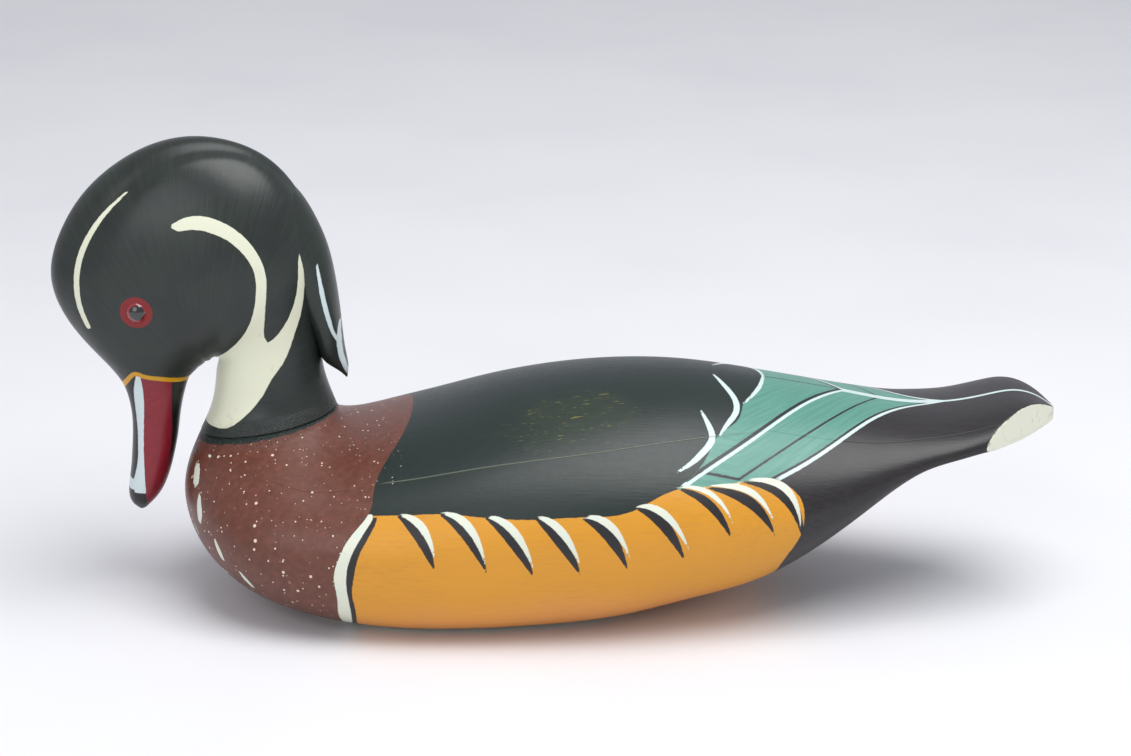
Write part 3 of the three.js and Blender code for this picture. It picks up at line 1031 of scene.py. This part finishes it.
@dataclass
class HeadBlock:
    """Neck, head and bill on one row of cuts, with the crest flap behind."""

    joint_gap: float = 0.3
    rows: int = 400
    crest_rows: int = 110

    BROW = (
        (-165, 168.4), (-173.7, 160.2), (-180.9, 150.2), (-185.2, 139.8), (-186.3, 129.9), (-185.1, 121.4),
        (-182.4, 114.2),
    )
    THROAT = (
        ((-144.7, 155), (-148.4, 156.7)),
        (
            (-148.4, 156.7), (-141.8, 160.3), (-135.9, 160.9), (-129.2, 159.2), (-122.8, 155.7), (-117.1, 150.3),
            (-113.4, 144.3), (-111.4, 138.3), (-111.1, 131.6), (-111.8, 123.7), (-112.7, 115.7), (-112.6, 110.7),
            (-111.6, 108.8),
        ),
        (
            (-111.6, 108.8), (-109, 110.7), (-105.6, 114.8), (-102.3, 120.8), (-100.3, 127.2), (-99.4, 133.6),
            (-99.2, 140.3), (-98.8, 144),
        ),
        (
            (-98.8, 144), (-97.7, 139.1), (-97.1, 132.8), (-97.5, 126.2), (-98.8, 119.1), (-101.1, 111.9),
            (-103.1, 106.1), (-105.3, 101), (-110, 94.5), (-114, 87.4), (-119.5, 80.5), (-124.2, 76.2),
            (-129.1, 73.1), (-134.2, 72.3), (-150, 72.3),
        ),
        ((-150, 72.3), (-150, 99.5)),
        ((-150, 99.5), (-133.5, 99.5)),
        (
            (-133.5, 99.5), (-131.9, 100.8), (-125.3, 107), (-121, 112.3), (-117.9, 118.1), (-115.9, 124.6),
            (-115.1, 131.4), (-115.3, 137.5), (-117.2, 142.6), (-121.1, 147.7), (-126, 151.9), (-131.6, 154.4),
            (-137.6, 155.7), (-144.7, 155),
        ),
    )
    CREST_LINES = (
        (
            ((-92.3, 138.3), (-91.2, 131), (-89.8, 122.7), (-88.1, 115.1), (-86, 108.2), (-84.6, 105.6)),
            (0.8, 1.7, 1.7, 0.9),
        ),
        (((-84.3, 113.7), (-84.6, 107.6), (-84.3, 102.1), (-83, 96.1), (-81.6, 91.1)), (0.7, 1.8, 1.8, 1.2)),
    )
    BILL_TOP = (
        (-180, 84), (-171.2, 88), (-165.1, 94.4), (-162, 93.5), (-157.7, 92.5), (-149.5, 90.8), (-145.4, 89.9),
    )
    CULMEN = (
        (49, -167.8), (54.6, -166.3), (62.7, -165.7), (70.7, -165.7), (79, -166.3), (86.1, -166.4), (92.5, -165),
    )
    RED_FRONT = ((37.7, -163), (49, -163.1), (58.1, -163.3), (71.4, -162.9), (85.2, -162.5), (92.1, -163.1))
    RED_BACK = ((40, -154.5), (55.3, -153.5), (61.2, -152.8), (70.5, -151.9), (80, -151.6), (88.9, -151.1))
    JAW_HEIGHT = 101.0
    EYE = (-162.4, 121.8)
    EYE_RIM = 6.5

    def lifted(self, cut: Cut) -> Cut:
        """The first cut, moved off the body along the joint's normal by the gap."""
        back, keel = np.array(cut.back), np.array(cut.keel)
        along = (back - keel) / np.hypot(*(back - keel))
        lift = self.joint_gap * np.array([-along[1], along[0]])
        return Cut(tuple(back + lift), tuple(keel + lift), cut.half)

    def head_skin(self) -> Skin:
        """Neck, head and bill from the joint to the bill's tip."""
        block = CarvedBlock([self.lifted(NECK_CUTS[0]), *NECK_CUTS[1:], *HEAD_CUTS, *BILL_CUTS])
        travel = np.linspace(0, block.length, self.rows)[:, None]
        turn = ring_turns(90, 20, 150)
        grid = np.broadcast_to(travel, (self.rows, len(turn)))
        rings = block.surface(grid, np.broadcast_to(turn, grid.shape))
        skin = Skin(rings, rings[0].mean(axis=0), rings[-1].mean(axis=0))
        bill_start = block.length - CarvedBlock([HEAD_CUTS[-1], *BILL_CUTS]).length
        neck_end = CarvedBlock([*NECK_CUTS, HEAD_CUTS[0]]).length
        self.number_head(skin, grid.ravel(), neck_end, bill_start)
        return skin

    def number_head(self, skin: Skin, travel: np.ndarray, neck_end: float, bill_start: float) -> None:
        """Give the head's skin the numbers of its paint.

        Args:
            skin: The head's skin.
            travel: Travel of each ring point.
            neck_end: Travel at which the neck runs into the head.
            bill_start: Travel at which the bill leaves the head.
        """
        x, _, z = skin.rings.reshape(-1, 3).T
        chart = np.stack([x, z], axis=-1)
        on_bill = travel - (bill_start - 14)
        throat = patch(chart, self.THROAT)
        throat = np.where(z < self.JAW_HEIGHT, np.minimum(throat, neck_end - travel), throat)
        brow = brushed(chart, self.BROW, (0.6, 1.4, 2.0, 2.3, 2.4, 2.3, 2.0))
        bill_top = np.minimum(-beyond(z, x, self.BILL_TOP), on_bill)
        culmen = beyond(x, z, self.CULMEN)
        red_front = beyond(x, z, self.RED_FRONT)
        red_back = -beyond(x, z, self.RED_BACK)
        bill_line = np.minimum.reduce([culmen, -red_front, bill_top - 1.5, z - 43])
        tip_band = np.minimum.reduce([48.5 - z, z - 44, -red_front, on_bill])
        numbers = {
            "along": travel,
            "girth": girth_of(skin.rings).ravel(),
            "white": np.maximum.reduce([throat, brow]),
            "throat": smooth(-z, -150, -110),
            "pale": np.maximum(bill_line, tip_band),
            "bill": bill_top,
            "red": np.minimum.reduce([red_front, red_back, bill_top - 1.5, z - 34]),
            "yellow": 1.0 - np.abs(bill_top - 0.5),
            "eye_rim": self.EYE_RIM - np.hypot(x - self.EYE[0], z - self.EYE[1]),
            "wear": np.exp(-(((x + 139) / 9) ** 2) - ((z - 143) / 9) ** 2),
            "filler": 1 - smooth(travel, 3, 8),
        }
        for name, values in numbers.items():
            skin.number(name, values)

    def crest_skin(self) -> Skin:
        """The crest flap from under the crown to its tip."""
        block = CarvedBlock(CREST_CUTS)
        travel = np.linspace(0, block.length, self.crest_rows)[:, None]
        turn = ring_turns(25, 10, 130)
        grid = np.broadcast_to(travel, (self.crest_rows, len(turn)))
        rings = block.surface(grid, np.broadcast_to(turn, grid.shape))
        skin = Skin(rings, rings[0].mean(axis=0), rings[-1].mean(axis=0))
        x, _, z = rings.reshape(-1, 3).T
        chart = np.stack([x, z], axis=-1)
        lines = [brushed(chart, path, widths) for path, widths in self.CREST_LINES]
        off = np.full(len(x), -FAR)
        numbers = {
            "along": 400 + grid.ravel(),
            "girth": girth_of(rings).ravel(),
            "white": off,
            "throat": 0 * x,
            "pale": np.maximum.reduce(lines),
            "bill": off,
            "red": off,
            "yellow": off,
            "eye_rim": off,
            "wear": 0 * x,
            "filler": 0 * x,
        }
        for name, values in numbers.items():
            skin.number(name, values)
        return skin

    def build(self) -> bpy.types.Object:
        """The painted head as one piece."""
        piece = joined_mesh("carved_head", [self.head_skin(), self.crest_skin()])
        piece.data.materials.append(HeadPaint().material())
        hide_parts("head")
        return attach(piece, "root")


class Side(Enum):
    """A side of the decoy, with the sign of y on it."""

    LEFT = -1
    RIGHT = 1


@dataclass
class GlassEye:
    """A ball of glass set in the head."""

    side: Side
    centre: tuple[float, float, float] = (-162, 19.8, 122)
    radius: float = 5.0
    rows: int = 48
    columns: int = 64

    def build(self) -> bpy.types.Object:
        """The eye: circles round its outward axis, radius times the sine of their angle from it."""
        angle = np.linspace(0, math.pi, self.rows + 2)[1:-1, None]
        turn = np.linspace(0, 2 * math.pi, self.columns, endpoint=False)
        out, reach = self.radius * np.cos(angle), self.radius * np.sin(angle)
        x, y, z = self.centre
        side = self.side.value
        places = [x + reach * np.cos(turn), side * (y + out + 0 * turn), z + reach * np.sin(turn)]
        rings = np.stack(places, axis=-1)
        poles = [np.array([x, side * (y + end * self.radius), z]) for end in (1, -1)]
        skin = Skin(rings, *poles)
        skin.number("from_axis", reach + 0 * turn)
        name = f"glass_eye_{self.side.name.lower()}"
        piece = joined_mesh(name, [skin])
        piece.data.materials.append(EyeGlass().material())
        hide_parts(f"eye_{self.side.name.lower()}")
        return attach(piece, "root")


# Studio


@dataclass
class Studio:
    """A pale paper sweep, soft light from above, and the camera at the photograph's angle."""

    target: Vector = field(default_factory=lambda: Vector((0.0052, 0, 0.0883)))
    elevation: float = 17.0
    distance: float = 1.3
    lens: float = 103.45

    def floor(self) -> bpy.types.Object:
        """The sweep: flat, then a quarter circle, then upright, along y, and the same all along x."""
        bend, flat, rise = 0.9, 1.6, 2.2
        angle = np.linspace(0, math.pi / 2, 40)
        profile_y = np.concatenate([[-3.0], flat + bend * np.sin(angle), [flat + bend]])
        profile_z = np.concatenate([[0.0], bend * (1 - np.cos(angle)), [bend + rise]])
        across = np.linspace(-4, 4, 9)
        x, y = np.meshgrid(across, profile_y)
        z = np.broadcast_to(profile_z[:, None], x.shape)
        count = len(across)
        corner = (np.arange(len(profile_y) - 1)[:, None] * count + np.arange(count - 1)).ravel()
        quads = np.stack([corner, corner + 1, corner + count + 1, corner + count], axis=-1)
        mesh = bpy.data.meshes.new("paper_sweep")
        mesh.from_pydata(np.stack([x, y, z], axis=-1).reshape(-1, 3).tolist(), [], quads.tolist())
        mesh.shade_smooth()
        mesh.materials.append(Backdrop().material())
        paper = bpy.data.objects.new("paper_sweep", mesh)
        bpy.context.collection.objects.link(paper)
        return paper

    def soft_light(self, name: str, place: tuple[float, float, float], size: float, power: float) -> None:
        """A square area light of a size in metres and a power in watts, turned to the decoy."""
        lamp = bpy.data.lights.new(name, "AREA")
        lamp.shape, lamp.size, lamp.energy = "SQUARE", size, power
        light = bpy.data.objects.new(name, lamp)
        bpy.context.collection.objects.link(light)
        aim = (self.target - Vector(place)).to_track_quat("-Z", "Y").to_matrix().to_4x4()
        light.matrix_world = Matrix.Translation(place) @ aim

    def camera(self) -> None:
        """The camera, looking along +Y and down on the decoy by its elevation."""
        lens = bpy.data.cameras.new("view")
        lens.lens, lens.sensor_width, lens.sensor_fit = self.lens, 36.0, "HORIZONTAL"
        lens.clip_start, lens.clip_end = 0.05, 30
        camera = bpy.data.objects.new("view", lens)
        bpy.context.collection.objects.link(camera)
        tilt = math.radians(self.elevation)
        ahead = Vector((0, math.cos(tilt), -math.sin(tilt)))
        place = self.target - ahead * self.distance
        camera.matrix_world = Matrix.Translation(place) @ ahead.to_track_quat("-Z", "Y").to_matrix().to_4x4()
        bpy.context.scene.camera = camera

    def build(self) -> None:
        """Set up floor, lights, surroundings and camera."""
        self.floor()
        self.soft_light("overhead", (0.35, -0.35, 1.5), 1.3, 22.0)
        self.soft_light("front", (-0.9, -1.6, 0.9), 1.2, 7.0)
        world = bpy.data.worlds.new("surroundings")
        world.use_nodes = True
        world.node_tree.nodes["Background"].inputs["Color"].default_value = (0.93, 0.95, 1.0, 1.0)
        world.node_tree.nodes["Background"].inputs["Strength"].default_value = 0.55
        bpy.context.scene.world = world
        bpy.context.scene.view_settings.view_transform = "Standard"
        self.camera()


def main() -> None:
    """Build the decoy's pieces and the studio."""
    logging.basicConfig(level=logging.INFO, format="%(name)s: %(message)s")
    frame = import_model()
    log.info("frame: %d nodes", len(frame["nodes"]))
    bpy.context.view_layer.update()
    bpy.context.view_layer.update()
    parts = [BodyBlock(), HeadBlock(), GlassEye(Side.LEFT), GlassEye(Side.RIGHT)]
    for part in parts:
        piece = part.build()
        log.info("%s: %d faces", piece.name, len(piece.data.polygons))
    Studio().build()
    bpy.context.view_layer.update()


if __name__ == "__main__":
    main()
